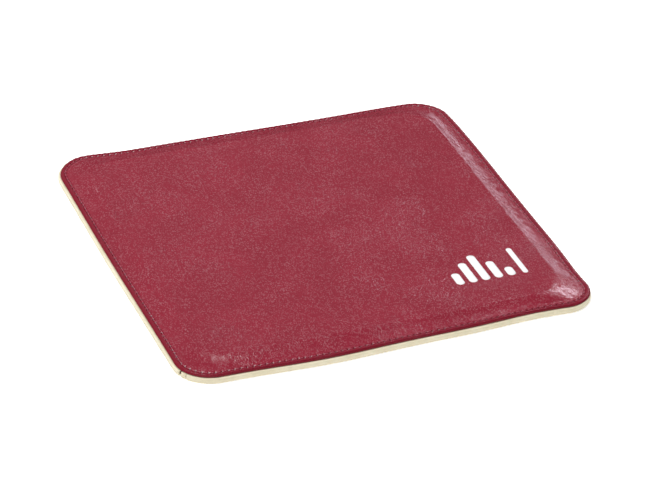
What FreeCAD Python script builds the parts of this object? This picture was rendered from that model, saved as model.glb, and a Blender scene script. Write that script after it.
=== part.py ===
import FreeCAD, Part

import math
import os

# Square cushioned seat pad: a folded leather cover and a folded cloth base,
# sewn together round a foam sheet.
#
# The origin is the centre of the flat underside. X runs across the width, Y along the depth, Z up.
# A name that ends in INSET is a distance inwards from the edge of the leather cover.
# Each border section is drawn once, extruded along the four sides and revolved round the four corners.

# Driving dimensions, in millimetres and degrees.
WIDTH = 300.0
DEPTH = 304.0
CORNER_RADIUS = 25.0

BASE_THICKNESS = 1.7
COVER_THICKNESS = 0.9
FOLD_SLIT = 0.2
HEM_INSET = 9.0
BASE_OVERHANG = 1.3

FLANGE_INSET = 6.5
SLOPE_ANGLE = 18.6
SLOPE_FOOT_RADIUS = 7.5
SLOPE_HEAD_RADIUS = 2.5
FOAM_THICKNESS = 6.1

STITCH_INSET = 4.3
STITCH_PITCH = 4.4
STITCH_GAP = 0.7
THREAD_RADIUS = 0.28
GROOVE_RADIUS = 0.6
THREAD_CLEARANCE = 0.02

EMBLEM_THICKNESS = 0.1
EMBLEM_CENTRE_X = 84.0
EMBLEM_CENTRE_Y = -88.5
EMBLEM_BAR_WIDTH = 6.0
EMBLEM_BAR_SPACING = 9.5
EMBLEM_BAR_HEIGHTS = (15.0, 26.0, 33.5, 22.0, 11.0)
EMBLEM_SIDE_BAR_X = 113.0
EMBLEM_SIDE_BAR_WIDTH = 4.0
EMBLEM_SIDE_BAR_HEIGHT = 33.5

# Heights of the layers, from the underside up.
BASE_FOLD_RADIUS = (BASE_THICKNESS + FOLD_SLIT) / 2
COVER_FOLD_RADIUS = (COVER_THICKNESS + FOLD_SLIT) / 2
BASE_HEIGHT = 2 * BASE_THICKNESS + FOLD_SLIT
FLANGE_HEIGHT = BASE_HEIGHT + 2 * COVER_THICKNESS + FOLD_SLIT
PLATEAU_HEIGHT = BASE_THICKNESS + FOAM_THICKNESS + COVER_THICKNESS

CORNER_CENTRE_X = WIDTH / 2 - CORNER_RADIUS
CORNER_CENTRE_Y = DEPTH / 2 - CORNER_RADIUS
Z_AXIS = FreeCAD.Vector(0, 0, 1)


def section_point(inset, height):
    """A point of a border section, which is drawn in the XZ plane outwards from the corner's axis."""
    return FreeCAD.Vector(CORNER_RADIUS - inset, 0, height)


def run(inset, height, heading, steps, offset=0.0):
    """The edges of a path beside a bent sheet's middle line, offset to its left.

    heading is the starting direction in degrees: 0 goes inwards, 90 goes up. Each step is
    ("straight", length) or ("bend", degrees to the left, radius of the middle line).
    """
    edges = []
    for kind, amount, *radius in steps:
        angle = math.radians(heading)
        if kind == "straight":
            to_left = (-offset * math.sin(angle), offset * math.cos(angle))
            start = section_point(inset + to_left[0], height + to_left[1])
            inset += amount * math.cos(angle)
            height += amount * math.sin(angle)
            end = section_point(inset + to_left[0], height + to_left[1])
            edges.append(Part.makeLine(start, end))
        else:
            # A signed radius puts the bend's centre on the side that the path turns to.
            middle_radius = math.copysign(radius[0], amount)
            edge_radius = middle_radius - offset
            centre = (inset - middle_radius * math.sin(angle), height + middle_radius * math.cos(angle))
            turned = [math.radians(heading + share * amount) for share in (0.0, 0.5, 1.0)]
            points = [
                section_point(centre[0] + edge_radius * math.sin(t), centre[1] - edge_radius * math.cos(t))
                for t in turned
            ]
            edges.append(Part.Arc(*points).toShape())
            inset = centre[0] + middle_radius * math.sin(turned[-1])
            height = centre[1] - middle_radius * math.cos(turned[-1])
            heading += amount
    return edges


def sheet_section(inset, height, heading, steps, thickness):
    """The section of a sheet of constant thickness, bent along the steps."""
    left_side = run(inset, height, heading, steps, thickness / 2)
    right_side = run(inset, height, heading, steps, -thickness / 2)
    return face_between(left_side, right_side)


def face_between(one_side, other_side):
    """The face between two paths that start and end side by side."""
    first_gap = Part.makeLine(one_side[0].Vertexes[0].Point, other_side[0].Vertexes[0].Point)
    last_gap = Part.makeLine(one_side[-1].Vertexes[-1].Point, other_side[-1].Vertexes[-1].Point)
    edges = Part.__sortEdges__([*one_side, last_gap, *other_side, first_gap])
    return Part.Face(Part.Wire(edges))


def round_border(section):
    """The section carried round the whole border: four straight sides and four quarter turns."""
    pieces = []
    for quarter in range(4):
        across_x = quarter % 2 == 0
        length = 2 * (CORNER_CENTRE_Y if across_x else CORNER_CENTRE_X)
        offset = CORNER_CENTRE_X if across_x else CORNER_CENTRE_Y
        side = section.extrude(FreeCAD.Vector(0, length, 0))
        side.translate(FreeCAD.Vector(offset, -length / 2, 0))
        corner = section.revolve(FreeCAD.Vector(0, 0, 0), Z_AXIS, 90)
        corner.translate(FreeCAD.Vector(offset, length / 2, 0))
        for piece in (side, corner):
            piece.rotate(FreeCAD.Vector(0, 0, 0), Z_AXIS, 90 * quarter)
            pieces.append(piece)
    return pieces


def middle_plate(bottom, top):
    """The rectangle inside the border sections, between two heights."""
    size = (2 * CORNER_CENTRE_X, 2 * CORNER_CENTRE_Y, top - bottom)
    return Part.makeBox(*size, FreeCAD.Vector(-CORNER_CENTRE_X, -CORNER_CENTRE_Y, bottom))


def joined(pieces):
    """Touching pieces as one solid with no seams."""
    return pieces[0].multiFuse(pieces[1:]).removeSplitter().Solids[0]


def stitch_groove(height):
    """A round channel along the stitch line, centred at a height."""
    centre = section_point(STITCH_INSET, height)
    circle = Part.makeCircle(GROOVE_RADIUS, centre, FreeCAD.Vector(0, 1, 0))
    return joined(round_border(Part.Face(Part.Wire(circle))))


def slope_length():
    """The straight part of the slope that, with its two bends, climbs from the flange to the plateau."""
    angle = math.radians(SLOPE_ANGLE)
    bends = (SLOPE_FOOT_RADIUS + SLOPE_HEAD_RADIUS) * (1 - math.cos(angle))
    return (PLATEAU_HEIGHT - FLANGE_HEIGHT - bends) / math.sin(angle)


def slope_steps():
    """The steps from the top of the foot bend to the section's inner end."""
    angle = math.radians(SLOPE_ANGLE)
    bends_run = (SLOPE_FOOT_RADIUS + SLOPE_HEAD_RADIUS) * math.sin(angle)
    slope_run = slope_length() * math.cos(angle)
    plateau_run = CORNER_RADIUS - FLANGE_INSET - bends_run - slope_run
    return [
        ("straight", slope_length()),
        ("bend", -SLOPE_ANGLE, SLOPE_HEAD_RADIUS),
        ("straight", plateau_run),
    ]


def base_sheet():
    """The cloth underlayer, its border folded in on top of itself."""
    fold_inset = BASE_THICKNESS + FOLD_SLIT / 2 - BASE_OVERHANG
    steps = [
        ("straight", HEM_INSET - fold_inset),
        ("bend", 180, BASE_FOLD_RADIUS),
        ("straight", CORNER_RADIUS - fold_inset),
    ]
    section = sheet_section(HEM_INSET, BASE_HEIGHT - BASE_THICKNESS / 2, 180, steps, BASE_THICKNESS)
    sheet = joined([*round_border(section), middle_plate(0, BASE_THICKNESS)])
    return sheet.cut(stitch_groove(0))


def cover_panel():
    """The leather top, its border folded under and its middle raised over the foam."""
    fold_inset = COVER_THICKNESS + FOLD_SLIT / 2
    steps = [
        ("straight", HEM_INSET - fold_inset),
        ("bend", -180, COVER_FOLD_RADIUS),
        ("straight", FLANGE_INSET - fold_inset),
        ("bend", SLOPE_ANGLE, SLOPE_FOOT_RADIUS),
        *slope_steps(),
    ]
    section = sheet_section(HEM_INSET, BASE_HEIGHT + COVER_THICKNESS / 2, 180, steps, COVER_THICKNESS)
    top = middle_plate(PLATEAU_HEIGHT - COVER_THICKNESS, PLATEAU_HEIGHT)
    panel = joined([*round_border(section), top])
    return panel.cut(stitch_groove(FLANGE_HEIGHT))


def foam_core():
    """The foam sheet, its edge bevelled to lie under the cover's slope."""
    angle = math.radians(SLOPE_ANGLE)
    inset = FLANGE_INSET + SLOPE_FOOT_RADIUS * math.sin(angle)
    height = FLANGE_HEIGHT - COVER_THICKNESS / 2 + SLOPE_FOOT_RADIUS * (1 - math.cos(angle))
    top = run(inset, height, SLOPE_ANGLE, slope_steps(), -COVER_THICKNESS / 2)
    edge_inset = CORNER_RADIUS - top[0].Vertexes[0].Point.x
    bottom = run(edge_inset, BASE_THICKNESS, 0, [("straight", CORNER_RADIUS - edge_inset)])
    plate = middle_plate(BASE_THICKNESS, BASE_THICKNESS + FOAM_THICKNESS)
    return joined([*round_border(face_between(top, bottom)), plate])


def stitch_line():
    """The closed line of the seam, at the height of the underside."""
    corners = [
        FreeCAD.Vector(x * CORNER_CENTRE_X, y * CORNER_CENTRE_Y, 0)
        for x, y in ((1, 1), (-1, 1), (-1, -1), (1, -1), (1, 1))
    ]
    return Part.makePolygon(corners).makeOffset2D(CORNER_RADIUS - STITCH_INSET)


def thread_stitch(length):
    """A thread's short length along X, centred at the origin, with round ends."""
    half = length / 2 - THREAD_RADIUS
    ends = [FreeCAD.Vector(-half, 0, 0), FreeCAD.Vector(half, 0, 0)]
    rod = Part.makeCylinder(THREAD_RADIUS, 2 * half, ends[0], FreeCAD.Vector(1, 0, 0))
    return joined([rod, *[Part.makeSphere(THREAD_RADIUS, end) for end in ends]])


def thread_row(height):
    """One row of separate stitches, lying in their groove with their middles at a height."""
    line = stitch_line()
    count = round(line.Length / STITCH_PITCH)
    marks = line.discretize(Number=2 * count + 1)
    pattern = thread_stitch(line.Length / count - STITCH_GAP)
    stitches = []
    for start, middle, end in zip(marks[0:-1:2], marks[1::2], marks[2::2]):
        heading = math.degrees(math.atan2(end.y - start.y, end.x - start.x))
        stitch = pattern.copy()
        stitch.rotate(FreeCAD.Vector(0, 0, 0), Z_AXIS, heading)
        stitch.translate(FreeCAD.Vector(middle.x, middle.y, height))
        stitches.append(stitch)
    return Part.makeCompound(stitches)


def needle_thread():
    """The top row of stitches, standing slightly proud of the flange."""
    groove_floor = FLANGE_HEIGHT - GROOVE_RADIUS
    return thread_row(groove_floor + THREAD_RADIUS + THREAD_CLEARANCE)


def bobbin_thread():
    """The bottom row of stitches, inside the groove so that the underside stays flat."""
    return thread_row(THREAD_RADIUS + THREAD_CLEARANCE)


def round_ended_bar(centre_x, bottom_y, width, length):
    """One upright bar of the printed mark, lying on the plateau."""
    low = FreeCAD.Vector(centre_x, bottom_y + width / 2, PLATEAU_HEIGHT)
    straight = length - width
    corner = low - FreeCAD.Vector(width / 2, 0, 0)
    bar = Part.makeBox(width, straight, EMBLEM_THICKNESS, corner)
    ends = [low, low + FreeCAD.Vector(0, straight, 0)]
    return joined([bar, *[Part.makeCylinder(width / 2, EMBLEM_THICKNESS, end) for end in ends]])


def printed_emblem():
    """A printed film: five bars of different heights and one plain bar beside them."""
    bottom = EMBLEM_CENTRE_Y - max(EMBLEM_BAR_HEIGHTS) / 2
    bars = []
    for number, height in enumerate(EMBLEM_BAR_HEIGHTS):
        from_middle = number - (len(EMBLEM_BAR_HEIGHTS) - 1) / 2
        centre_x = EMBLEM_CENTRE_X + from_middle * EMBLEM_BAR_SPACING
        bars.append(round_ended_bar(centre_x, bottom, EMBLEM_BAR_WIDTH, height))
    bars.append(round_ended_bar(EMBLEM_SIDE_BAR_X, bottom, EMBLEM_SIDE_BAR_WIDTH, EMBLEM_SIDE_BAR_HEIGHT))
    return Part.makeCompound(bars)


NODES = (base_sheet, foam_core, cover_panel, needle_thread, bobbin_thread, printed_emblem)

os.makedirs("parts", exist_ok=True)
for node in NODES:
    shape = node()
    if not shape.isValid():
        raise ValueError(f"{node.__name__} isn't a valid shape")
    shape.exportStep(f"parts/{node.__name__}.step")
    print(node.__name__, len(shape.Solids), "solids", round(shape.Volume, 1), "mm3", shape.BoundBox)
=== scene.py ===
import math

import bmesh
import bpy
import numpy as np
from mathutils import Matrix, Vector, geometry, noise


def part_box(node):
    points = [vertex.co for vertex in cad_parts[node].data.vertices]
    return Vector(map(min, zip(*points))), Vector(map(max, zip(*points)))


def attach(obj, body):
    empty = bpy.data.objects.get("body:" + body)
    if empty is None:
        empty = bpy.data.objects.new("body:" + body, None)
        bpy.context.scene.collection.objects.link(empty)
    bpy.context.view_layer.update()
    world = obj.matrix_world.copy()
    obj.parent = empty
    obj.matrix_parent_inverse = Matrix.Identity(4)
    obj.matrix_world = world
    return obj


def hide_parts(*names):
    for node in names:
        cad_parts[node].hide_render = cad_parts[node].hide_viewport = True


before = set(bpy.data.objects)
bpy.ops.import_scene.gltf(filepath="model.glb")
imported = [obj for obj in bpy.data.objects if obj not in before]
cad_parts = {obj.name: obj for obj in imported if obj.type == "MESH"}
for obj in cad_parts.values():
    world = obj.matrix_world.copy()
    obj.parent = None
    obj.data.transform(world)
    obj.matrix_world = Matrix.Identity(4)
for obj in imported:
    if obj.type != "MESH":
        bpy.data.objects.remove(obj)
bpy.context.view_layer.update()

# Lengths are in metres; MM makes a number of millimetres readable.
MM = 0.001

cover_high = np.array(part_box("cover_panel")[1])
base_low, base_high = (np.array(corner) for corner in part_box("base_sheet"))
foam_low = np.array(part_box("foam_core")[0])

# The plan of the pad. An inset is a distance inwards from the drawn edge of the cover.
HALF = cover_high[:2]
CORNER_RADIUS = 25 * MM
STITCH_INSET = 4.3 * MM
STITCH_PITCH = 4.4 * MM
HEM_INSET = 9.0 * MM
BASE_OVERHANG = base_high[0] - cover_high[0]
PLATEAU_INSET = 17.8 * MM
PLATEAU_HALF = HALF - PLATEAU_INSET
PLATEAU_CORNER_RADIUS = 24 * MM

# The heights of the layers.
FLOOR_Z = base_low[2]
BASE_TOP = base_high[2]
PLATEAU_TOP = cover_high[2]
COVER_THICKNESS = 0.9 * MM
BASE_THICKNESS = foam_low[2] - base_low[2]
FLANGE_TOP = BASE_TOP + 2.0 * MM
PLATEAU_UNDERSIDE = PLATEAU_TOP - COVER_THICKNESS


# ---------------------------------------------------------------- camera

CAMERA_AZIMUTH = -21.26
CAMERA_ELEVATION = 31.33
CAMERA_ROLL = 1.086
CAMERA_DISTANCE = 2.356
CAMERA_LENS = 186.2
CAMERA_SENSOR_WIDTH = 36.0
CAMERA_CLIP_START = 0.05
CAMERA_TARGET = (0.0005, -0.01115, 0.0)


def looking_back(direction, distance, target=(0, 0, 0)):
    """The matrix of something that looks at a target from a direction and a distance."""
    turn = direction.to_track_quat("Z", "Y").to_matrix().to_4x4()
    return Matrix.Translation(Vector(target) + direction * distance) @ turn


def add_camera():
    data = bpy.data.cameras.new("camera")
    data.lens = CAMERA_LENS
    data.sensor_width = CAMERA_SENSOR_WIDTH
    data.clip_start = CAMERA_CLIP_START
    camera = bpy.data.objects.new("camera", data)
    bpy.context.collection.objects.link(camera)
    azimuth, elevation = math.radians(CAMERA_AZIMUTH), math.radians(CAMERA_ELEVATION)
    back = Vector(
        (
            math.sin(azimuth) * math.cos(elevation),
            -math.cos(azimuth) * math.cos(elevation),
            math.sin(elevation),
        )
    )
    roll = Matrix.Rotation(math.radians(CAMERA_ROLL), 4, "Z")
    camera.matrix_world = looking_back(back, CAMERA_DISTANCE, CAMERA_TARGET) @ roll
    bpy.context.scene.camera = camera


# ---------------------------------------------------------------- the border

# Where the sewn edge wanders off the drawn outline: a place, its reach and the push there, in mm.
EDGE_BUMPS = (
    ((-50, -152), 32, (0.0, -2.9)),  # front, bulge left of the middle
    ((104, -152), 27, (0.0, 3.2)),  # front, hollow right of the middle
    ((-124, 152), 14, (0.0, 2.6)),  # back, bulge by the left corner
    ((55, 152), 50, (0.0, -1.4)),  # back, long hollow
    ((-150, 15), 62, (-0.9, 0.0)),  # left, long bulge
    ((150, 80), 50, (1.1, 0.0)),  # right, long bulge
    ((150, -112), 16, (-1.2, 0.0)),  # right, hollow by the front corner
    ((137, 141), 17, (-1.6, -1.4)),  # back right corner, cut short
)
# How far inwards a bump fades away.
BUMP_DEPTH = 26 * MM


def from_border(plan, half=HALF, radius=CORNER_RADIUS):
    """How far points of the plan lie inside a rounded rectangle."""
    beyond = np.abs(plan) - (half - radius)
    outside = np.linalg.norm(np.maximum(beyond, 0), axis=1)
    inside = np.minimum(beyond.max(axis=1), 0)
    return radius - outside - inside


def wandered(points):
    """Points moved sideways, so that the border runs as unevenly as hand-fed sewing does."""
    plan = points[:, :2]
    hold = np.exp(-((np.maximum(from_border(plan), 0) / BUMP_DEPTH) ** 2))
    moved = points.copy()
    for place, reach, push in EDGE_BUMPS:
        distance = np.linalg.norm(plan - np.array(place) * MM, axis=1)
        share = hold * np.exp(-0.5 * (distance / (reach * MM)) ** 2)
        moved[:, :2] += share[:, None] * np.array(push) * MM
    return moved


class Columns:
    """Places along the seam, anticlockwise from the front end of the right side.

    Each has a spot on the corner rectangle, from -1 to 1 each way, and an outward normal.
    """

    def __init__(self, distances):
        radius = CORNER_RADIUS - STITCH_INSET
        straight = 2 * (HALF - CORNER_RADIUS)
        lengths = [straight[1], radius * math.pi / 2, straight[0], radius * math.pi / 2] * 2
        ends = np.cumsum(lengths)
        self.distances = np.asarray(distances) % ends[-1]
        part = np.minimum(np.searchsorted(ends, self.distances, side="right"), len(ends) - 1)
        share = 1 - (ends[part] - self.distances) / np.array(lengths)[part]
        corners = np.array([(1, -1), (1, 1), (-1, 1), (-1, -1), (1, -1)], float)
        side, turning = part // 2, part % 2 == 1
        along = np.where(turning, 1.0, share)[:, None]
        self.spots = corners[side] * (1 - along) + corners[side + 1] * along
        angles = math.pi / 2 * (side + np.where(turning, share, 0.0))
        self.normals = np.stack([np.cos(angles), np.sin(angles)], axis=1)

    def outline(self, half, radius):
        """The places on a rounded rectangle."""
        return self.spots * (half - radius) + self.normals * radius

    def at_inset(self, inset):
        """The places at one inset, or at one for each column."""
        reach = CORNER_RADIUS - np.broadcast_to(inset, len(self.spots))
        return self.spots * (HALF - CORNER_RADIUS) + self.normals * reach[:, None]


def seam_length():
    return 4 * (HALF - CORNER_RADIUS).sum() + 2 * math.pi * (CORNER_RADIUS - STITCH_INSET)


STITCH_COUNT = round(seam_length() / STITCH_PITCH)


def even_columns(per_stitch):
    """Columns at equal distances, so many to a stitch."""
    count = int(STITCH_COUNT * per_stitch)
    return Columns(np.arange(count) * seam_length() / count)


# ---------------------------------------------------------------- mesh building

# Points of a patch keep this share of their spacing away from its rim.
RIM_CLEARANCE = 0.6

# Points of a triangulation and corners of the CAD's faces that are nearer than this are the same.
SAME_POINT = 1e-7
SAME_CORNER = 1e-6


class Skin:
    """A mesh in the making: rows of points, and the faces that join or fill them."""

    def __init__(self):
        self.points = []
        self.pressed = []
        self.faces = []
        self.total = 0

    def row(self, plan, heights, pressed=0.0):
        """Adds points and returns their numbers; pressed says how deep in a hole or pleat each lies."""
        points = np.empty((len(plan), 3))
        points[:, :2] = plan
        points[:, 2] = heights
        self.points.append(points)
        self.pressed.append(np.broadcast_to(pressed, len(points)))
        numbers = np.arange(self.total, self.total + len(points))
        self.total += len(points)
        return numbers

    def bridge(self, one, two):
        """Joins two closed rows of equal length, or of which one has twice the other's points."""
        if len(one) == len(two):
            quads = np.stack([one, np.roll(one, -1), np.roll(two, -1), two], axis=1)
            self.faces.extend(quads.tolist())
            return
        fine, coarse = (one, two) if len(one) > len(two) else (two, one)
        for i in range(len(coarse)):
            j = (i + 1) % len(coarse)
            a, b, c = fine[2 * i], fine[2 * i + 1], fine[(2 * i + 2) % len(fine)]
            self.faces += [[coarse[i], a, b], [coarse[i], b, coarse[j]], [coarse[j], b, c]]

    def bridge_all(self, rows):
        """Joins each row to the next."""
        for one, two in zip(rows, rows[1:]):
            self.bridge(one, two)

    def fill(self, rim, inner, numbers):
        """Triangulates a closed outline with points inside it; numbers are the mesh's for both."""
        plan = [Vector(point) for point in np.concatenate([rim, inner]).tolist()]
        filled = geometry.delaunay_2d_cdt(plan, [], [list(range(len(rim)))], 1, SAME_POINT)
        triangles, origins = filled[2], filled[3]
        lookup = [numbers[origin[0]] for origin in origins]
        self.faces += [[lookup[i] for i in triangle] for triangle in triangles]

    def patch(self, boundary, half, radius, spacing, height_of):
        """Fills a closed row, which is a rounded rectangle, with triangles about spacing across."""
        rim = np.concatenate(self.points)[boundary][:, :2]
        rows = []
        for k, y in enumerate(np.arange(-half[1], half[1], spacing * math.sqrt(0.75))):
            xs = np.arange(-half[0] + (k % 2) * spacing / 2, half[0], spacing)
            rows.append(np.stack([xs, np.full(len(xs), y)], axis=1))
        inner = np.concatenate(rows)
        inner = inner[from_border(inner, half, radius) > spacing * RIM_CLEARANCE]
        self.fill(rim, inner, np.concatenate([boundary, self.row(inner, height_of(inner))]))

    def build(self, name):
        """Makes the object, its points moved as the border wanders, with their insets in mm."""
        points = np.concatenate(self.points)
        insets = from_border(points[:, :2])
        points = wandered(points)
        mesh = bpy.data.meshes.new(name)
        mesh.from_pydata(points.tolist(), [], [[int(i) for i in f] for f in self.faces])
        mesh.validate()
        edit = bmesh.new()
        edit.from_mesh(mesh)
        bmesh.ops.recalc_face_normals(edit, faces=edit.faces)
        edit.to_mesh(mesh)
        edit.free()
        mesh.shade_smooth()
        for label, values in (("inset", insets / MM), ("pressed", np.concatenate(self.pressed))):
            mesh.attributes.new(label, "FLOAT", "POINT").data.foreach_set("value", values)
        piece = bpy.data.objects.new(name, mesh)
        bpy.context.collection.objects.link(piece)
        return piece


# ---------------------------------------------------------------- the cover's shape

# The slope, by distance inwards from the seam. Most of it is hollow and steepens up to the crest.
# Where the stuffing fills it, it rises sooner: along the back, and at the front right corner.
SLOPE_FOOT = 1.2 * MM
FULL_SLOPE_FOOT = 1.9 * MM
SLOPE_END = PLATEAU_INSET - STITCH_INSET
SLOPE_POWER = 1.75
FULL_SLOPE_POWER = 0.85
BACK_REACH = 30 * MM
BACK_GROWTH = 0.5
FULL_CORNER = np.array((130, -130)) * MM
FULL_CORNER_REACH = 26 * MM
FULL_CORNER_STRENGTH = 1.5

# The crest: how much it's rounded, and a slight lip just inside it.
CREST_ROUNDING = 0.8 * MM
LIP_HEIGHT = 0.04 * MM
LIP_WIDTH = 0.9 * MM
LIP_SETBACK = 0.4 * MM

# A distance from the seam that is well inside the crest.
WELL_INSIDE = SLOPE_END + 10 * MM

# Unevenness of the cover: the height and the size of each kind of wave, in mm, and its seed.
SWELLS = ((0.16, 55, 1), (0.07, 17, 2))
SWELLS_FROM = 4 * MM
SWELLS_GROW_OVER = 10 * MM
PUCKERS = ((0.09, 6, 3), (0.05, 3, 4))
PUCKERS_INSET = 9 * MM
PUCKERS_WIDTH = 5 * MM
SEED_OFFSETS = (7.3, 3.1, 1.7)


def slope_height(distance, fullness=0.0):
    """The cover's height at a distance inwards from the seam, from hollow, 0, to stuffed full, 1."""
    foot = SLOPE_FOOT + (FULL_SLOPE_FOOT - SLOPE_FOOT) * fullness
    power = SLOPE_POWER + (FULL_SLOPE_POWER - SLOPE_POWER) * fullness
    share = np.maximum(distance - foot, 0) / (SLOPE_END - foot)
    full = PLATEAU_TOP - FLANGE_TOP
    rise = full * share**power
    # A smooth minimum of the slope and the level middle rounds the crest.
    blend = np.maximum(CREST_ROUNDING - np.abs(rise - full), 0) / CREST_ROUNDING
    lip = LIP_HEIGHT * np.exp(-(((distance - SLOPE_END - LIP_SETBACK) / LIP_WIDTH) ** 2))
    return FLANGE_TOP + np.minimum(rise, full) - blend**2 * CREST_ROUNDING / 4 + lip


def noise_field(plan, size, seed):
    """Smooth noise from about -1 to 1 at points of the plan."""
    offset = Vector([seed * step for step in SEED_OFFSETS])
    return np.array([noise.noise(Vector((x / size, y / size, 0)) + offset) for x, y in plan.tolist()])


def waves(plan, kinds):
    """The height of some kinds of wave together: (height, size, seed) of each, in mm."""
    return sum(height * MM * noise_field(plan, size * MM, seed) for height, size, seed in kinds)


def slack(plan):
    """How far the cover stands above its drawn height: slow swells, and puckers along the seam."""
    depth = from_border(plan)
    middle = np.clip((depth - SWELLS_FROM) / SWELLS_GROW_OVER, 0, 1)
    near_seam = np.exp(-(((depth - PUCKERS_INSET) / PUCKERS_WIDTH) ** 2))
    return middle * waves(plan, SWELLS) + near_seam * waves(plan, PUCKERS)


class SettledCover:
    """How a cloth simulation lifts the sewn-down cover, on a lattice of points over the plan.

    The leather is a little larger than the space it's sewn into, so it wrinkles. The lattice is
    pinned from the seam outwards. The foam holds the middle flat, so only the short waves stay,
    and they're strongest near the seam.
    """

    STEP = 3.8 * MM
    FRAMES = 20
    SEWN_WITHIN = 0.5 * MM
    # How much too long the leather is, and how much of its drawn slack it starts with.
    EXTRA_LENGTH = 0.006
    STARTING_SLACK = 0.5
    # How much of the short waves stays, by the seam and in the middle, and the most it may come to.
    SMOOTHING_ROUNDS = 12
    SEAM_SHARE = 0.35
    MIDDLE_SHARE = 0.1
    SEAM_REACH = 13 * MM
    MOST_RISE = 0.16 * MM

    def __init__(self):
        self.counts = np.ceil(2 * HALF / self.STEP).astype(int) + 1
        self.rises = self.simulate()

    def simulate(self):
        """Runs the simulation and gives the lattice's rises."""
        across, up = np.meshgrid(*[np.arange(count) for count in self.counts], indexing="ij")
        plan = np.stack([across.ravel(), up.ravel()], axis=1) * self.STEP - HALF
        inward = np.maximum(from_border(plan) - STITCH_INSET, 0)
        start = np.column_stack([plan, slope_height(inward) + self.STARTING_SLACK * slack(plan)])
        numbers = np.arange(len(plan)).reshape(self.counts)
        left, right = numbers[:-1], numbers[1:]
        quads = np.stack([left[:, :-1], right[:, :-1], right[:, 1:], left[:, 1:]], axis=2)
        mesh = bpy.data.meshes.new("settling cover")
        mesh.from_pydata(start.tolist(), [], quads.reshape(-1, 4).tolist())
        sheet = bpy.data.objects.new("settling cover", mesh)
        bpy.context.collection.objects.link(sheet)
        pinned = sheet.vertex_groups.new(name="sewn")
        pinned.add(np.flatnonzero(inward < self.SEWN_WITHIN).tolist(), 1.0, "REPLACE")
        self.add_cloth(sheet)
        for moment in range(1, self.FRAMES + 1):
            bpy.context.scene.frame_set(moment)
        settled = sheet.evaluated_get(bpy.context.evaluated_depsgraph_get()).data
        places = np.empty(3 * len(plan), np.float32)
        settled.vertices.foreach_get("co", places)
        bpy.context.scene.frame_set(1)
        bpy.data.objects.remove(sheet)
        rise = (places.reshape(-1, 3)[:, 2] - start[:, 2]).reshape(self.counts)
        return self.short_waves(rise, inward.reshape(self.counts))

    def short_waves(self, rise, inward):
        """The part of the rise that stays once the foam holds the long waves flat, gently capped."""
        slow = rise
        for _ in range(self.SMOOTHING_ROUNDS):
            for axis in (0, 1):
                slow = (np.roll(slow, 1, axis) + 2 * slow + np.roll(slow, -1, axis)) / 4
        near_seam = np.exp(-((inward / self.SEAM_REACH) ** 2))
        share = self.MIDDLE_SHARE + (self.SEAM_SHARE - self.MIDDLE_SHARE) * near_seam
        wrinkles = (rise - slow) * share * (inward > 0)
        return self.MOST_RISE * np.tanh(wrinkles / self.MOST_RISE)

    def add_cloth(self, sheet):
        cloth = sheet.modifiers.new("cloth", "CLOTH")
        settings = cloth.settings
        settings.quality = 6
        settings.mass = 0.01
        settings.tension_stiffness = 15
        settings.compression_stiffness = 15
        settings.shear_stiffness = 5
        settings.bending_stiffness = 0.05
        settings.use_pressure = True
        settings.uniform_pressure_force = 0.5
        settings.shrink_min = -self.EXTRA_LENGTH
        settings.shrink_max = -self.EXTRA_LENGTH
        settings.vertex_group_mass = "sewn"
        settings.effector_weights.gravity = 0
        cloth.point_cache.frame_end = self.FRAMES

    def at(self, plan):
        """The rise at points of the plan, between the lattice's points."""
        place = (plan + HALF) / self.STEP
        cell = np.clip(np.floor(place).astype(int), 0, self.counts - 2)
        x, y = np.clip(place - cell, 0, 1).T
        i, j = cell.T
        near = self.rises[i, j] * (1 - x) + self.rises[i + 1, j] * x
        far = self.rises[i, j + 1] * (1 - x) + self.rises[i + 1, j + 1] * x
        return near * (1 - y) + far * y


# Creases pressed into the cover: start, end, width and depth in mm. A negative depth is a ridge.
CREASES = (
    ((133, -143), (126, -133), 1.1, 0.2),
    ((122, -145), (119, -139), 0.9, 0.22),
    ((-133, 126), (-131, 60), 1.1, -0.18),
    ((-130, -143), (-124, -128), 1.2, 0.25),
    ((-96, -138), (-70, -135), 1.6, 0.22),
    ((-140, 96), (-128, 84), 0.9, 0.2),
    ((60, 137), (100, 137.5), 1.2, -0.12),
)
CREASE_TIP = 0.04


def creased(plan):
    """The depth that the creases add at points of the plan."""
    depth = np.zeros(len(plan))
    for start, end, width, amount in CREASES:
        start, end = np.array(start) * MM, np.array(end) * MM
        run = end - start
        along = np.clip((plan - start) @ run / (run @ run), 0, 1)
        away = np.linalg.norm(plan - start - along[:, None] * run, axis=1)
        fade = np.sqrt(np.sin(math.pi * np.clip(along, CREASE_TIP, 1 - CREASE_TIP)))
        depth += amount * MM * fade * np.exp(-0.5 * (away / (width * MM)) ** 2)
    return depth


def cover_height(plan, distance):
    """The cover's height at points of the plan, given their distance inwards from the seam."""
    back = np.clip((plan[:, 1] - HALF[1]) / BACK_REACH + 1, 0, 1) ** BACK_GROWTH
    from_corner = np.linalg.norm(plan - FULL_CORNER, axis=1)
    near_corner = np.exp(-((from_corner / FULL_CORNER_REACH) ** 2))
    corner = np.minimum(FULL_CORNER_STRENGTH * near_corner, 1)
    settled = slack(plan) + settled_cover.at(plan) - creased(plan)
    return slope_height(distance, np.maximum(back, corner)) + settled


def plateau_height(plan):
    """The cover's height inside the crest."""
    return cover_height(plan, WELL_INSIDE)


# Dents of the seam: a channel all along it, and a hole at each stitch's end.
CHANNEL_DEPTH = 0.26 * MM
CHANNEL_WIDTH = 0.9 * MM
HOLE_DEPTH = 0.7 * MM
HOLE_WIDTH = 0.8 * MM


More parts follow.
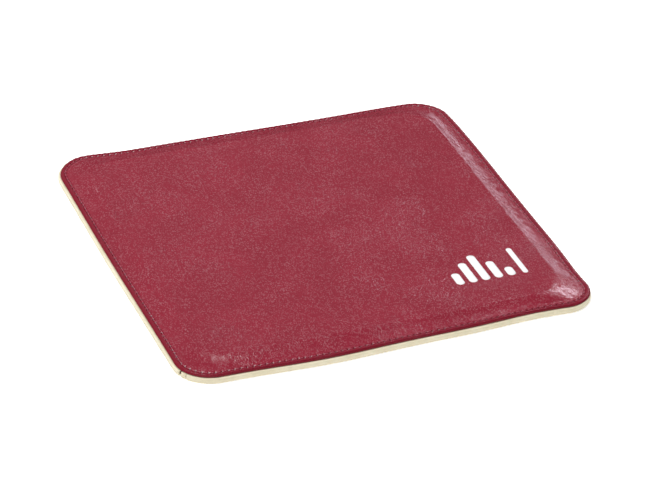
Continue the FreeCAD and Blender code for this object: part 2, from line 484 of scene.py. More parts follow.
def hole_share(columns, offset):
    """How close points at an offset from the stitch line are to a needle hole, from 0 to 1."""
    pitch = seam_length() / STITCH_COUNT
    from_hole = np.abs((columns.distances + pitch / 2) % pitch - pitch / 2)
    return np.exp(-((np.hypot(from_hole, offset) / HOLE_WIDTH) ** 2))


# The rolled edge of the cover: half an oval, which leans in further above its middle than below.
# It's tucked in a little along the front, and stands out a little along the right.
ROLL_MIDDLE = BASE_TOP + 0.9 * MM
ROLL_TOP = FLANGE_TOP + 0.08 * MM
ROLL_UPPER_DEPTH = 1.5 * MM
ROLL_LOWER_DEPTH = 0.4 * MM
ROLL_INSET = 0.5 * MM
FRONT_ROLL_SHIFT = 0.45 * MM
RIGHT_ROLL_SHIFT = 0.45 * MM
ROLL_REACH = 1.4 * MM

# The stitches gather the leather between them: down, and a share of that inwards.
GATHER_DEPTH = 0.1 * MM
GATHER_INWARDS = 0.4

# The cover's rows of points: offsets from the seam in mm, shares of the slope, and steps inside
# the crest in mm. On the hidden side, only shares of the slope.
SEAM_OFFSETS = (-1.9, -1.5, -1.15, -0.85, -0.55, -0.25, 0, 0.25, 0.55, 0.85, 1.15, 1.5, 1.9)
SLOPE_SHARES = (0.18, 0.22, 0.27, 0.34, 0.42, 0.5, 0.58, 0.66, 0.74, 0.81, 0.87, 0.92, 0.96, 1.0)
CREST_STEPS = (0.4, 0.8, 1.3, 2.0, 3.0)
HIDDEN_SLOPE_SHARES = (0.3, 0.65, 1.0)
COVER_SPACING = 1.85 * MM
HIDDEN_SPACING = 6 * MM

# Sheets that lie on each other are kept this far apart.
HAIR = 0.05 * MM


def roll_section():
    """(inset, height) of the rolled edge, from the hem's inner end underneath to beside the seam."""
    section = [(HEM_INSET, BASE_TOP + 0.02 * MM), (5.5 * MM, BASE_TOP), (2.4 * MM, BASE_TOP)]
    for angle in np.radians(np.arange(-80, 1, 16)):
        inset = ROLL_INSET + ROLL_LOWER_DEPTH * (1 - math.cos(angle))
        section.append((inset, ROLL_MIDDLE + (ROLL_MIDDLE - BASE_TOP) * math.sin(angle)))
    for angle in np.radians((12, 26, 40, 54, 68, 80)):
        inset = ROLL_INSET + ROLL_UPPER_DEPTH * (1 - math.cos(angle))
        section.append((inset, ROLL_MIDDLE + (ROLL_TOP - ROLL_MIDDLE) * math.sin(angle)))
    return section


def cover_outside(skin):
    """The visible side: from the hem's end out and over the roll, and up the slope to the middle."""
    coarse, fine = even_columns(4), even_columns(8)
    rows = []
    roll_shift = FRONT_ROLL_SHIFT * np.maximum(-coarse.normals[:, 1], 0)
    roll_shift -= RIGHT_ROLL_SHIFT * np.maximum(coarse.normals[:, 0], 0)
    gather = GATHER_DEPTH * np.cos(2 * math.pi * coarse.distances * STITCH_COUNT / seam_length())
    for inset, height in roll_section():
        wave = gather if height > ROLL_MIDDLE else 0.0
        uneven = (GATHER_INWARDS * wave + roll_shift) * (inset < ROLL_REACH)
        rows.append(skin.row(coarse.at_inset(inset + uneven), height - wave))
    for offset in SEAM_OFFSETS:
        plan = fine.at_inset(STITCH_INSET + offset * MM)
        holes = hole_share(fine, offset * MM)
        channel = CHANNEL_DEPTH * math.exp(-((offset * MM / CHANNEL_WIDTH) ** 2))
        rows.append(skin.row(plan, FLANGE_TOP - channel - HOLE_DEPTH * holes, holes))
    seam = coarse.at_inset(STITCH_INSET)
    crest = coarse.outline(PLATEAU_HALF, PLATEAU_CORNER_RADIUS)
    for share in SLOPE_SHARES:
        plan = seam + share * (crest - seam)
        rows.append(skin.row(plan, cover_height(plan, share * SLOPE_END)))
    for step in CREST_STEPS:
        half, radius = PLATEAU_HALF - step * MM, PLATEAU_CORNER_RADIUS - step * MM
        plan = coarse.outline(half, radius)
        rows.append(skin.row(plan, cover_height(plan, SLOPE_END + step * MM)))
    skin.bridge_all(rows)
    skin.patch(rows[-1], half, radius, COVER_SPACING, plateau_height)
    return rows[0]


def cover_inside(skin, hem_end):
    """The hidden side: from the hem's end round inside the fold, and up under the slope to the middle."""
    columns = even_columns(4)
    low, high = BASE_TOP + COVER_THICKNESS, FLANGE_TOP - COVER_THICKNESS
    section = [
        (HEM_INSET, low),
        (3.0 * MM, low),
        (1.3 * MM, low),
        (1.1 * MM, (low + high) / 2),
        (1.3 * MM, high),
        (2.6 * MM, high - HAIR),
        (STITCH_INSET, low + HAIR),
    ]
    rows = [hem_end, *[skin.row(columns.at_inset(inset), height) for inset, height in section]]
    seam = columns.at_inset(STITCH_INSET)
    crest = columns.outline(PLATEAU_HALF, PLATEAU_CORNER_RADIUS)
    for share in HIDDEN_SLOPE_SHARES:
        plan = seam + share * (crest - seam)
        height = slope_height(share * SLOPE_END) - COVER_THICKNESS
        rows.append(skin.row(plan, np.maximum(height, low + HAIR)))
    skin.bridge_all(rows)
    skin.patch(
        rows[-1], PLATEAU_HALF, PLATEAU_CORNER_RADIUS, HIDDEN_SPACING, lambda plan: PLATEAU_UNDERSIDE
    )


def make_cover():
    skin = Skin()
    hem_end = cover_outside(skin)
    cover_inside(skin, hem_end)
    cover = skin.build("leather_cover")
    cover.data.materials.append(leather())
    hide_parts("cover_panel")
    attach(cover, "root")


# ---------------------------------------------------------------- the base

# The folded edge's section is half an oval, made squarer by a power under 1.
FOLD_MIDDLE = (BASE_TOP + FLOOR_Z) / 2
FOLD_TOP = BASE_TOP + 0.35 * MM
FOLD_DEPTH = 1.5 * MM
FOLD_SQUARENESS = 0.6
FOLD_SLIT = 0.2 * MM
SEAM_DENT = 0.35 * MM
BASE_MIDDLE_INSET = 16 * MM
BASE_LAYER_TOP = FLOOR_Z + BASE_THICKNESS

# The folded edge isn't straight: the height, the size and the seed of each kind of wave, in mm.
EDGE_RIPPLES = ((0.22, 14, 9), (0.35, 60, 10))
EDGE_REACH = 2 * MM

# Along the right side the edge is tucked under the cover and keeps straighter.
TUCK_START = 0.4
TUCK_GROWTH = 1.5
TUCKED_OVERHANG_LOSS = 0.9
TUCKED_RIPPLE_LOSS = 0.7

# Gathers in the folded edge: place, width and depth, in mm. The deepest part of each is darkened, partly
# the cloth's own colour and partly painted shade.
PLEATS = (
    ((-149, -136.5), 0.55, 1.9),
    ((-146.5, -141.5), 0.5, 0.9),
    ((114, -152), 0.4, 0.6),
    ((-139, -150), 1.6, 0.35),
    ((140, -148), 1.4, 0.3),
    ((146, 143), 1.2, 0.5),
    ((-145, 146), 1.2, 0.5),
)
DARK_PLEAT_DEPTH = 2 * MM
DARK_PLEAT_SHARE = 0.6

# The share of a pleat's pull halfway up the fold, and how much more the top has and less the bottom.
PLEAT_MIDDLE_SHARE = 0.7
PLEAT_UPPER_SHARE = 0.3

# How close together the points are: along the edge, within a pleat, and in the two flat layers.
COLUMN_STEP = 1.5 * MM
WIDTHS_IN_PLEAT = 3
STEPS_IN_PLEAT = 24
BASE_SPACING = 4 * MM
BASE_HIDDEN_SPACING = 8 * MM


def nearest_to(place, border):
    """The number of the border point nearest to a place in mm."""
    return np.argmin(np.linalg.norm(border - np.array(place) * MM, axis=1))


def base_columns():
    """Columns for the base, closer together at the pleats."""
    places = np.arange(0, seam_length(), COLUMN_STEP)
    even = Columns(places)
    extra = []
    for place, width, _ in PLEATS:
        border = even.at_inset(0)
        nearest = places[nearest_to(place, border)]
        reach = WIDTHS_IN_PLEAT * width * MM
        places = places[np.abs(places - nearest) > reach]
        even = Columns(places)
        extra.append(nearest + reach * np.linspace(-1, 1, STEPS_IN_PLEAT + 1))
    return Columns(np.sort(np.concatenate([places, *extra])))


def fold_section():
    """(inset, height, share of a pleat's pull) from the turned-in end, round the fold, to underneath."""
    section = [(HEM_INSET, BASE_TOP, 0.0), (4.5 * MM, BASE_TOP, 0.0), (0.4 * MM, BASE_TOP, 0.3)]
    for angle in np.radians(np.arange(80, -91, -10)):
        across = math.cos(angle) ** FOLD_SQUARENESS
        up = math.copysign(abs(math.sin(angle)) ** FOLD_SQUARENESS, angle)
        inset = -BASE_OVERHANG + FOLD_DEPTH * (1 - across)
        rise = (FOLD_TOP if up > 0 else BASE_TOP) - FOLD_MIDDLE
        pleated = PLEAT_MIDDLE_SHARE + PLEAT_UPPER_SHARE * up
        section.append((inset, FOLD_MIDDLE + rise * up, pleated))
    section += [(inset, FLOOR_Z, 0.0) for inset in (2.0 * MM, 3.7 * MM)]
    section.append((STITCH_INSET, FLOOR_Z + SEAM_DENT, 0.0))
    section += [(inset, FLOOR_Z, 0.0) for inset in (4.9 * MM, 8 * MM, BASE_MIDDLE_INSET)]
    return section


def hidden_section():
    """The same, from the turned-in end outwards in the slit, and back under it to the middle."""
    slit_top = BASE_LAYER_TOP + FOLD_SLIT
    return (
        (HEM_INSET, slit_top, 0),
        (4.0 * MM, slit_top, 0),
        (0.6 * MM, slit_top, 1),
        (0.6 * MM, BASE_LAYER_TOP, 1),
        (6.0 * MM, BASE_LAYER_TOP, 0),
        (BASE_MIDDLE_INSET, BASE_LAYER_TOP, 0),
    )


def pleat_pull(columns, border):
    """How far the pleats pull each column inwards."""
    pull = np.zeros(len(border))
    for place, width, depth in PLEATS:
        away = columns.distances - columns.distances[nearest_to(place, border)]
        pull += depth * MM * np.exp(-0.5 * (away / (width * MM)) ** 2)
    return pull


def make_base():
    skin = Skin()
    columns = base_columns()
    border = columns.at_inset(0)
    pull = pleat_pull(columns, border)
    tucked = np.clip(columns.normals[:, 0] * TUCK_GROWTH - TUCK_START, 0, 1)
    ripple = waves(border, EDGE_RIPPLES) * (1 - TUCKED_RIPPLE_LOSS * tucked)
    ripple -= BASE_OVERHANG * TUCKED_OVERHANG_LOSS * tucked
    outside = []
    for inset, height, pleated in fold_section():
        plan = columns.at_inset(inset + pull * pleated - ripple * (inset < EDGE_REACH))
        # The deepest points of a pleat get the painted shade.
        dark = pull / DARK_PLEAT_DEPTH * (pleated > DARK_PLEAT_SHARE)
        outside.append(skin.row(plan, height, dark))
    skin.bridge_all(outside)
    half, radius = HALF - BASE_MIDDLE_INSET, CORNER_RADIUS - BASE_MIDDLE_INSET
    skin.patch(outside[-1], half, radius, BASE_SPACING, lambda plan: FLOOR_Z)
    inside = [outside[0]]
    for inset, height, pleated in hidden_section():
        inside.append(skin.row(columns.at_inset(inset + pull * pleated), height))
    skin.bridge_all(inside)
    skin.patch(inside[-1], half, radius, BASE_HIDDEN_SPACING, lambda plan: BASE_LAYER_TOP)
    base = skin.build("base_cloth")
    base.data.materials.append(base_cloth())
    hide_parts("base_sheet")
    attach(base, "root")


# ---------------------------------------------------------------- the foam

# The foam's edge is chamfered underneath, between two shares of the way up the slope.
FOAM_EDGE_SHARES = (0.43, 0.46)
FOAM_SLOPE_SHARES = (*FOAM_EDGE_SHARES, 0.6, 0.75, 0.9, 1.0)
FOAM_EDGE_HEIGHT = 0.5 * MM
FOAM_GAP = 0.03 * MM
FOAM_TOP_SPACING = 6 * MM
FOAM_BOTTOM_SPACING = 12 * MM


def make_foam():
    skin = Skin()
    columns = even_columns(2)
    seam = columns.at_inset(STITCH_INSET)
    crest = columns.outline(PLATEAU_HALF, PLATEAU_CORNER_RADIUS)
    bottom = foam_low[2] + FOAM_GAP
    top = PLATEAU_UNDERSIDE - FOAM_GAP
    edge, chamfer = FOAM_EDGE_SHARES
    rows = []
    for share, height in ((1.0, bottom), (chamfer, bottom), (edge, bottom + FOAM_EDGE_HEIGHT)):
        rows.append(skin.row(seam + share * (crest - seam), height))
    for share in FOAM_SLOPE_SHARES:
        height = slope_height(share * SLOPE_END) - COVER_THICKNESS - FOAM_GAP
        rows.append(skin.row(seam + share * (crest - seam), height))
    skin.bridge_all(rows)
    skin.patch(rows[-1], PLATEAU_HALF, PLATEAU_CORNER_RADIUS, FOAM_TOP_SPACING, lambda plan: top)
    skin.patch(rows[0], PLATEAU_HALF, PLATEAU_CORNER_RADIUS, FOAM_BOTTOM_SPACING, lambda plan: bottom)
    foam = skin.build("foam_pad")
    foam.data.materials.append(foam_material())
    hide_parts("foam_core")
    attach(foam, "root")


# ---------------------------------------------------------------- the threads

# Each stitch is two plies twisted together. It starts and ends in the holes, and arches out of them.
PLIES = 2
PLY_RADIUS = 0.19 * MM
PLY_OFFSET = 0.13 * MM
PLY_TURNS = 1.3
PLY_SIDES = 6
STITCH_STEPS = 9
STITCH_START = 0.15
STITCH_SHARE = 0.7
STITCH_SLANT = 0.16 * MM
STITCH_DEPTH = 0.58 * MM
STITCH_ARCH = 0.5 * MM
BOBBIN_HEIGHT = FLOOR_Z + 0.42 * MM
BOBBIN_ARCH_SHARE = 0.6


def add_ply(skin, path, across, heights):
    """Adds a closed tube whose middle runs along a path in plan at the given heights."""
    first, steps = skin.total, len(path)
    for angle in np.arange(PLY_SIDES) * 2 * math.pi / PLY_SIDES:
        line = path + across * (PLY_RADIUS * math.cos(angle))
        skin.row(line, heights + PLY_RADIUS * math.sin(angle))
    for side in range(PLY_SIDES):
        a, b = first + side * steps, first + (side + 1) % PLY_SIDES * steps
        skin.faces += [[a + k, a + k + 1, b + k + 1, b + k] for k in range(steps - 1)]
    for end in (0, steps - 1):
        skin.faces.append([first + side * steps + end for side in range(PLY_SIDES)])


def stitch_row(name, height, upwards):
    """A row of stitches that arch out of one hole and into the next, upwards or, below 0, downwards."""
    pitch = seam_length() / STITCH_COUNT
    share = np.linspace(0, 1, STITCH_STEPS)
    slant = STITCH_SLANT * (share - 0.5)
    arch = 1 - (2 * share - 1) ** 4
    middle = height + upwards * (arch * STITCH_ARCH - STITCH_DEPTH)
    skin = Skin()
    for stitch in range(STITCH_COUNT):
        place = Columns((stitch + STITCH_START + STITCH_SHARE * share) * pitch)
        path = place.at_inset(STITCH_INSET) + place.normals * slant[:, None]
        along = np.gradient(path, axis=0)
        along /= np.linalg.norm(along, axis=1)[:, None]
        across = np.stack([along[:, 1], -along[:, 0]], axis=1)
        for ply in range(PLIES):
            twist = 2 * math.pi * (PLY_TURNS * share + ply / PLIES)
            centre = path + across * (PLY_OFFSET * np.cos(twist))[:, None]
            add_ply(skin, centre, across, middle + PLY_OFFSET * np.sin(twist))
    return skin.build(name)


def make_threads():
    top = stitch_row("needle_stitches", FLANGE_TOP, 1)
    under = stitch_row("bobbin_stitches", BOBBIN_HEIGHT, -BOBBIN_ARCH_SHARE)
    for piece, node, slot, material in (
        (top, "needle_thread", "red_thread", thread("red thread", THREAD_RED)),
        (under, "bobbin_thread", "cream_thread", thread("cream thread", THREAD_CREAM)),
    ):
        piece.data.materials.append(material)
        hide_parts(node)
        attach(piece, "root")


# ---------------------------------------------------------------- the emblem

PRINT_THICKNESS = 0.05 * MM
RIM_POINTS = 48

# The points inside a bar: how far they reach, in half widths, how many across, and how far apart along.
PRINT_REACH = 0.7
PRINT_FIRST_GAP = 0.4
PRINT_LAST_GAP = 0.39
PRINT_COLUMNS = 4
PRINT_SPACING = 1.2 * MM
PRINT_RIM_CLEARANCE = 0.3 * MM


def drawn_bars():
    """(lowest corner, highest corner) in plan of each bar of the CAD emblem, left to right."""
    edit = bmesh.new()
    edit.from_mesh(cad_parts["printed_emblem"].data)
    bmesh.ops.remove_doubles(edit, verts=edit.verts, dist=SAME_CORNER)
    left = set(edit.verts)
    bars = []
    while left:
        found, edge = set(), [left.pop()]
        while edge:
            vertex = edge.pop()
            found.add(vertex)
            near = {e.other_vert(vertex) for e in vertex.link_edges} - found
            edge += [v for v in near if v in left]
            left -= near
        plan = np.array([v.co[:2] for v in found])
        bars.append((plan.min(axis=0), plan.max(axis=0)))
    edit.free()
    return sorted(bars, key=lambda bar: bar[0][0])


def make_emblem():
    """The printed bars, each a thin film that follows the cover's surface."""
    skin = Skin()
    for low, high in drawn_bars():
        centre, half = (low + high) / 2, (high - low) / 2
        angles = np.arange(RIM_POINTS) * 2 * math.pi / RIM_POINTS
        tips = np.where(np.sin(angles) >= 0, 1.0, -1.0) * (half[1] - half[0])
        rim = centre + np.stack([half[0] * np.cos(angles), half[0] * np.sin(angles) + tips], axis=1)
        grid_x = np.linspace(-PRINT_REACH, PRINT_REACH, PRINT_COLUMNS) * half[0] + centre[0]
        first, last = low[1] + PRINT_FIRST_GAP * half[0], high[1] - PRINT_LAST_GAP * half[0]
        grid_y = np.arange(first, last, PRINT_SPACING)
        grid = np.array([(x, y) for y in grid_y for x in grid_x])
        inner = grid[from_border(grid - centre, half, half[0]) > PRINT_RIM_CLEARANCE]
        lower = skin.row(rim, plateau_height(rim) - HAIR)
        upper = skin.row(rim, plateau_height(rim) + PRINT_THICKNESS)
        skin.bridge(lower, upper)
        inside = skin.row(inner, plateau_height(inner) + PRINT_THICKNESS)
        skin.fill(rim, inner, np.concatenate([upper, inside]))
        skin.faces.append(lower[::-1].tolist())
    piece = skin.build("printed_bars")
    piece.data.materials.append(white_print())
    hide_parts("printed_emblem")
    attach(piece, "root")


# ---------------------------------------------------------------- materials

# The scale of a pattern is in waves or cells to the metre, and the meshes' insets are in mm.


class Nodes:
    """Short calls for building a material's node tree."""

    def __init__(self, name):
        self.material = bpy.data.materials.new(name)
        self.material.use_nodes = True
        self.tree = self.material.node_tree
        self.shader = self.tree.nodes["Principled BSDF"]
        self.place = self.add("ShaderNodeTexCoord").outputs["Object"]

    def add(self, kind, **settings):
        node = self.tree.nodes.new(kind)
        for name, value in settings.items():
            setattr(node, name, value)
        return node

    def put(self, socket, value):
        """Links an output to a socket, or sets the socket to a plain value."""
        if isinstance(value, bpy.types.NodeSocket):
            self.tree.links.new(value, socket)
        else:
            socket.default_value = value

    def noise(self, scale, detail=2.0, roughness=0.5):
        node = self.add("ShaderNodeTexNoise")
        self.put(node.inputs["Vector"], self.place)
        for name, value in (("Scale", scale), ("Detail", detail), ("Roughness", roughness)):
            node.inputs[name].default_value = value
        return node.outputs["Fac"]

    def cells(self, scale, feature="F1", place=None):
        """The distance from each cell's middle, or from its edge."""
        node = self.add("ShaderNodeTexVoronoi", feature=feature)
        self.put(node.inputs["Vector"], place or self.place)
        node.inputs["Scale"].default_value = scale
        return node.outputs["Distance"]

    def cell_values(self, scale, place):
        """A random value for each cell of a pattern of cells."""
        node = self.add("ShaderNodeTexVoronoi", feature="F1")
        self.put(node.inputs["Vector"], place)
        node.inputs["Scale"].default_value = scale
        split = self.add("ShaderNodeSeparateColor")
        self.put(split.inputs[0], node.outputs["Color"])
        return split.outputs[0]

    def attribute(self, name):
        """A number that the mesh's points carry."""
        return self.add("ShaderNodeAttribute", attribute_name=name).outputs["Fac"]

    def math(self, operation, one, two=0.0):
        """A sum, a product or the like of two values, or something worked out from one."""
        node = self.add("ShaderNodeMath", operation=operation)
        self.put(node.inputs[0], one)
        self.put(node.inputs[1], two)
        return node.outputs[0]

    def stretched(self, x, y, z):
        """The place, with each axis scaled."""
        node = self.add("ShaderNodeMapping")
        self.put(node.inputs["Vector"], self.place)
        node.inputs["Scale"].default_value = (x, y, z)
        return node.outputs[0]

    def shift(self, amount, scale):
        """The place, pushed about by noise, to make a pattern less regular."""
        node = self.add("ShaderNodeTexNoise")
        self.put(node.inputs["Vector"], self.place)
        node.inputs["Scale"].default_value = scale
        push = self.add("ShaderNodeVectorMath", operation="MULTIPLY_ADD")
        self.put(push.inputs[0], node.outputs["Color"])
        push.inputs[1].default_value = (amount, amount, amount)
        self.put(push.inputs[2], self.place)
        return push.outputs[0]

    def ramp(self, value, low, high, out_low=0.0, out_high=1.0):
        """Goes smoothly from out_low to out_high as the value goes from low to high."""
        node = self.add("ShaderNodeMapRange", interpolation_type="SMOOTHSTEP")
        self.put(node.inputs["Value"], value)
        limits = {"From Min": low, "From Max": high, "To Min": out_low, "To Max": out_high}
        for name, number in limits.items():
            node.inputs[name].default_value = number
        return node.outputs[0]

    def mix(self, share, one, two):
        """One colour turning into another as the share goes from 0 to 1."""
        node = self.add("ShaderNodeMix", data_type="RGBA")
        self.put(node.inputs[0], share)
        self.put(node.inputs[6], one)
        self.put(node.inputs[7], two)
        return node.outputs[2]

    def bump(self, height, distance, below=None):
        """A normal bent by a pattern of some height, on top of another normal if there is one."""
        node = self.add("ShaderNodeBump")
        node.inputs["Distance"].default_value = distance
        self.put(node.inputs["Height"], height)
        if below is not None:
            self.put(node.inputs["Normal"], below)
        return node.outputs[0]

    def set(self, **values):
        """Sets the shader's sockets; an underscore stands for a space."""
        for name, value in values.items():
            self.put(self.shader.inputs[name.replace("_", " ")], value)


RED = (0.258, 0.018, 0.036, 1)
LIGHTER_RED = (0.284, 0.021, 0.041, 1)
# Painted shade for the grain's valleys.
VALLEY_SHADE_RED = (0.15, 0.005, 0.013, 1)
# Painted shade along the border, outside the seam.
BORDER_SHADE_RED = (0.205, 0.009, 0.023, 1)
# Painted shade in the needle holes.
HOLE_SHADE_RED = (0.12, 0.004, 0.013, 1)
# Painted highlight: the pale pink of glints off the grain.
GLINT_PINK = (0.38, 0.13, 0.155, 1)
CREST_INSET = 18.0


def leather():
    """Glossy grained leather, with painted shade along the border, in the grain's valleys and in the
    holes, and pale specks of painted glint.
    """
    nodes = Nodes("red leather")
    inset = nodes.attribute("inset")

    # The relief: swells, fine pebbles with valleys between them, and in some places coarser cracks.
    bent = nodes.shift(1.2 * MM, 420)
    pebbles = nodes.cells(760, "F1", bent)
    valleys = nodes.ramp(nodes.cells(760, "DISTANCE_TO_EDGE", bent), 0.0, 0.14, 1.0, 0.0)
    cracks = nodes.cells(270, "DISTANCE_TO_EDGE", nodes.shift(4 * MM, 150))
    crackled = nodes.ramp(nodes.noise(24, 2.0, 0.5), 0.5, 0.62)
    crackle = nodes.math("MULTIPLY", nodes.ramp(cracks, 0.0, 0.07, 1.0, 0.0), crackled)
    normal = nodes.bump(nodes.noise(70, 3.0, 0.5), 0.22 * MM)
    normal = nodes.bump(crackle, 0.06 * MM, normal)
    normal = nodes.bump(pebbles, -0.03 * MM, normal)
    normal = nodes.bump(valleys, -0.015 * MM, normal)

    # The colour: cloudy, with painted shade in the grain's valleys and darkest painted shade along the
    # border.
    patches = nodes.ramp(nodes.noise(28, 4.0, 0.6), 0.35, 0.68)
    colour = nodes.mix(patches, RED, LIGHTER_RED)
    colour = nodes.mix(nodes.math("MULTIPLY", valleys, 0.35), colour, VALLEY_SHADE_RED)
    colour = nodes.mix(nodes.ramp(inset, 3.6, 6.0, 0.9, 0.0), colour, BORDER_SHADE_RED)

    # Painted glints: pale specks that stand in for highlights off the grain, thicker in some places and
    # along the crest, and none outside the seam.
    grains = nodes.cell_values(1600, nodes.stretched(1.0, 0.65, 1.0))
    specks = nodes.ramp(grains, 0.6, 0.98, 0.0, 0.62)
    off_crest = nodes.math("ABSOLUTE", nodes.math("SUBTRACT", inset, CREST_INSET))
    crest = nodes.ramp(off_crest, 0.4, 1.8, 0.5, 0.0)
    crest = nodes.math("MULTIPLY", crest, nodes.ramp(nodes.noise(60), 0.4, 0.6))
    dense = nodes.math("ADD", nodes.ramp(nodes.noise(45, 3.0, 0.6), 0.3, 0.7, 0.55, 1.05), crest)
    specks = nodes.math("MULTIPLY", nodes.math("MULTIPLY", specks, dense), nodes.ramp(inset, 4.4, 6.4))
    colour = nodes.mix(specks, colour, GLINT_PINK)
    # The crackle's lines get the same painted glint.
    colour = nodes.mix(nodes.math("MULTIPLY", crackle, 0.16), colour, GLINT_PINK)
    # Painted shade in the needle holes, as deep as each point lies in one.
    colour = nodes.mix(nodes.attribute("pressed"), colour, HOLE_SHADE_RED)

    rough = nodes.ramp(nodes.noise(120, 3.0, 0.6), 0.3, 0.7, 0.13, 0.2)
    nodes.set(Base_Color=colour, Roughness=rough, Normal=normal, IOR=1.5)
    return nodes.material


CREAM = (0.74, 0.665, 0.475, 1)
LIGHTER_CREAM = (0.81, 0.74, 0.56, 1)
FLECK_BROWN = (0.5, 0.43, 0.27, 1)
# Painted shade in the pleats, with some of the cloth's own darkening.
PLEAT_SHADE_BROWN = (0.1, 0.07, 0.03, 1)


def base_cloth():
    """Napped cloth with flecks of fibre, dark in the pleats: partly its own colour, partly painted shade.
    """
    nodes = Nodes("cream non-slip cloth")
    fibres = nodes.noise(1500, 3.0, 0.6)
    nap = nodes.noise(420, 3.0, 0.6)
    normal = nodes.bump(nap, 0.25 * MM)
    normal = nodes.bump(fibres, 0.1 * MM, normal)
    tone = nodes.ramp(nodes.noise(60, 3.0, 0.6), 0.3, 0.7)
    colour = nodes.mix(tone, CREAM, LIGHTER_CREAM)
    colour = nodes.mix(nodes.ramp(fibres, 0.56, 0.75, 0.0, 0.35), colour, FLECK_BROWN)
    colour = nodes.mix(nodes.ramp(nodes.attribute("pressed"), 0.2, 0.8), colour, PLEAT_SHADE_BROWN)
    rough = nodes.ramp(nap, 0.3, 0.7, 0.8, 0.95)
    nodes.set(Base_Color=colour, Roughness=rough, Normal=normal, Sheen_Weight=0.2)
    return nodes.material


# Painted shade in the foam's pores.
FOAM_PORE_SHADE = (0.42, 0.4, 0.36, 1)
FOAM_WALL = (0.66, 0.64, 0.58, 1)


def foam_material():
    """Open-celled foam, with painted shade in its pores."""
    nodes = Nodes("foam")
    pores = nodes.ramp(nodes.cells(1100), 0.1, 0.55)
    normal = nodes.bump(pores, 0.2 * MM)
    colour = nodes.mix(pores, FOAM_PORE_SHADE, FOAM_WALL)
    nodes.set(Base_Color=colour, Roughness=nodes.ramp(pores, 0, 1, 0.95, 0.8), Normal=normal)
    return nodes.material


THREAD_RED = (0.33, 0.05, 0.08)
THREAD_CREAM = (0.6, 0.5, 0.34)
FIBRE_GAIN = 1.6
FIBRE_LIFT = 0.02


def thread(name, colour):
    """Spun thread, with lighter fibres here and there."""
    nodes = Nodes(name)
    fibres = nodes.noise(3000, 2.0, 0.6)
    light = (*[min(1.0, part * FIBRE_GAIN + FIBRE_LIFT) for part in colour], 1)
    tone = nodes.mix(nodes.ramp(fibres, 0.35, 0.7), (*colour, 1), light)
    rough = nodes.ramp(fibres, 0.3, 0.7, 0.25, 0.4)
    nodes.set(Base_Color=tone, Roughness=rough, Normal=nodes.bump(fibres, 0.03 * MM))
    return nodes.material


PRINT_WHITE = (0.9, 0.9, 0.9, 1)
WORN_PINK = (0.75, 0.6, 0.62, 1)


def white_print():
    """White ink over the leather's grain, worn thin in small spots."""
    nodes = Nodes("white print")
    bent = nodes.shift(1.2 * MM, 420)
    pebbles = nodes.ramp(nodes.cells(780, "DISTANCE_TO_EDGE", bent), 0.0, 0.22)
    normal = nodes.bump(pebbles, 0.03 * MM)
    worn = nodes.ramp(nodes.noise(700, 3.0, 0.6), 0.66, 0.8, 0.0, 0.5)
    colour = nodes.mix(worn, PRINT_WHITE, WORN_PINK)
    rough = nodes.ramp(nodes.noise(200), 0.3, 0.7, 0.35, 0.5)
    nodes.set(Base_Color=colour, Roughness=rough, Normal=normal)
    return nodes.material


# ---------------------------------------------------------------- studio

FLOOR_SIZE = 30
FLOOR_COLOUR = (0.93, 0.93, 0.93, 1)
GLOW_NEAR_PAD = 0.4
GLOW_FAR_AWAY = 0.66
WHITE = (1.0, 1.0, 1.0)
FAINT_PINK = (1.0, 0.9, 1.0)

# The greys of the world: as fill light, in reflections and for the camera.
WORLD_FILL = 0.4
WORLD_REFLECTED = 0.05
WORLD_SEEN = 1.0

# Each softbox: name, azimuth, elevation, distance, (width, height), watts and colour.
SOFTBOXES = (
    ("key", -60, 73, 1.8, (1.0, 0.9), 27, WHITE),
    ("back right window", 40, 12.5, 2.4, (0.8, 0.13), 2.1, (1.0, 0.88, 1.0)),
    ("right window", 47, 38.5, 2.2, (0.34, 0.22), 5.2, FAINT_PINK),
    ("back wall", 3, 30, 3.0, (2.4, 1.0), 1.35, WHITE),
    ("front left fill", -150, 14, 1.8, (2.2, 0.5), 3.4, WHITE),
)


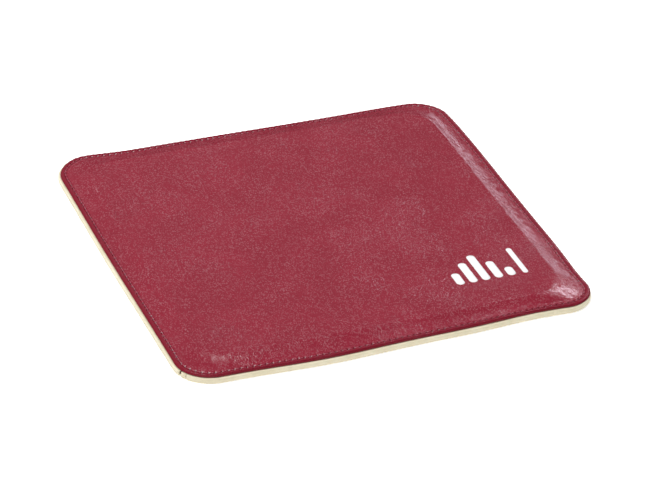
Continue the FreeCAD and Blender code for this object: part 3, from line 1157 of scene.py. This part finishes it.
def add_floor():
    """A white floor that glows a little, and more so away from the pad, so that it's evenly pale."""
    bpy.ops.mesh.primitive_plane_add(size=FLOOR_SIZE, location=(0, 0, FLOOR_Z))
    floor = bpy.context.object
    floor.name = "floor"
    nodes = Nodes("pale floor")
    nearness = nodes.add("ShaderNodeTexGradient", gradient_type="SPHERICAL")
    nodes.put(nearness.inputs["Vector"], nodes.place)
    glow = nodes.ramp(nearness.outputs["Fac"], 0.1, 0.75, GLOW_FAR_AWAY, GLOW_NEAR_PAD)
    nodes.set(Base_Color=FLOOR_COLOUR, Roughness=0.9)
    nodes.set(Emission_Color=(1, 1, 1, 1), Emission_Strength=glow)
    floor.data.materials.append(nodes.material)
    floor.visible_glossy = False


def add_softbox(name, azimuth, elevation, distance, size, watts, colour):
    """A softbox in a direction from the pad: azimuth from +Y towards +X, and elevation, in degrees."""
    light = bpy.data.lights.new(name, "AREA")
    light.shape = "RECTANGLE"
    light.size, light.size_y = size
    light.energy = watts
    light.color = colour
    lamp = bpy.data.objects.new(name, light)
    bpy.context.collection.objects.link(lamp)
    a, e = math.radians(azimuth), math.radians(elevation)
    away = Vector((math.sin(a) * math.cos(e), math.cos(a) * math.cos(e), math.sin(e)))
    lamp.matrix_world = looking_back(away, distance)
    lamp.visible_camera = False


def add_world():
    """An even grey for each kind of ray: white for the camera, and dim in reflections."""
    world = bpy.data.worlds.new("studio")
    world.use_nodes = True
    tree = world.node_tree
    fill = tree.nodes["Background"]
    fill.inputs["Color"].default_value = (WORLD_FILL, WORLD_FILL, WORLD_FILL, 1)
    path = tree.nodes.new("ShaderNodeLightPath")
    so_far = fill
    for ray, grey in (("Is Glossy Ray", WORLD_REFLECTED), ("Is Camera Ray", WORLD_SEEN)):
        seen = tree.nodes.new("ShaderNodeBackground")
        seen.inputs["Color"].default_value = (grey, grey, grey, 1)
        mix = tree.nodes.new("ShaderNodeMixShader")
        tree.links.new(path.outputs[ray], mix.inputs["Fac"])
        tree.links.new(so_far.outputs[0], mix.inputs[1])
        tree.links.new(seen.outputs[0], mix.inputs[2])
        so_far = mix
    tree.links.new(so_far.outputs[0], tree.nodes["World Output"].inputs["Surface"])
    bpy.context.scene.world = world


def add_studio():
    add_floor()
    add_world()
    for softbox in SOFTBOXES:
        add_softbox(*softbox)
    bpy.context.scene.view_settings.view_transform = "Standard"
    bpy.context.scene.view_settings.look = "None"


# ---------------------------------------------------------------- the scene

add_camera()
settled_cover = SettledCover()
make_base()
make_foam()
make_cover()
make_threads()
make_emblem()
add_studio()
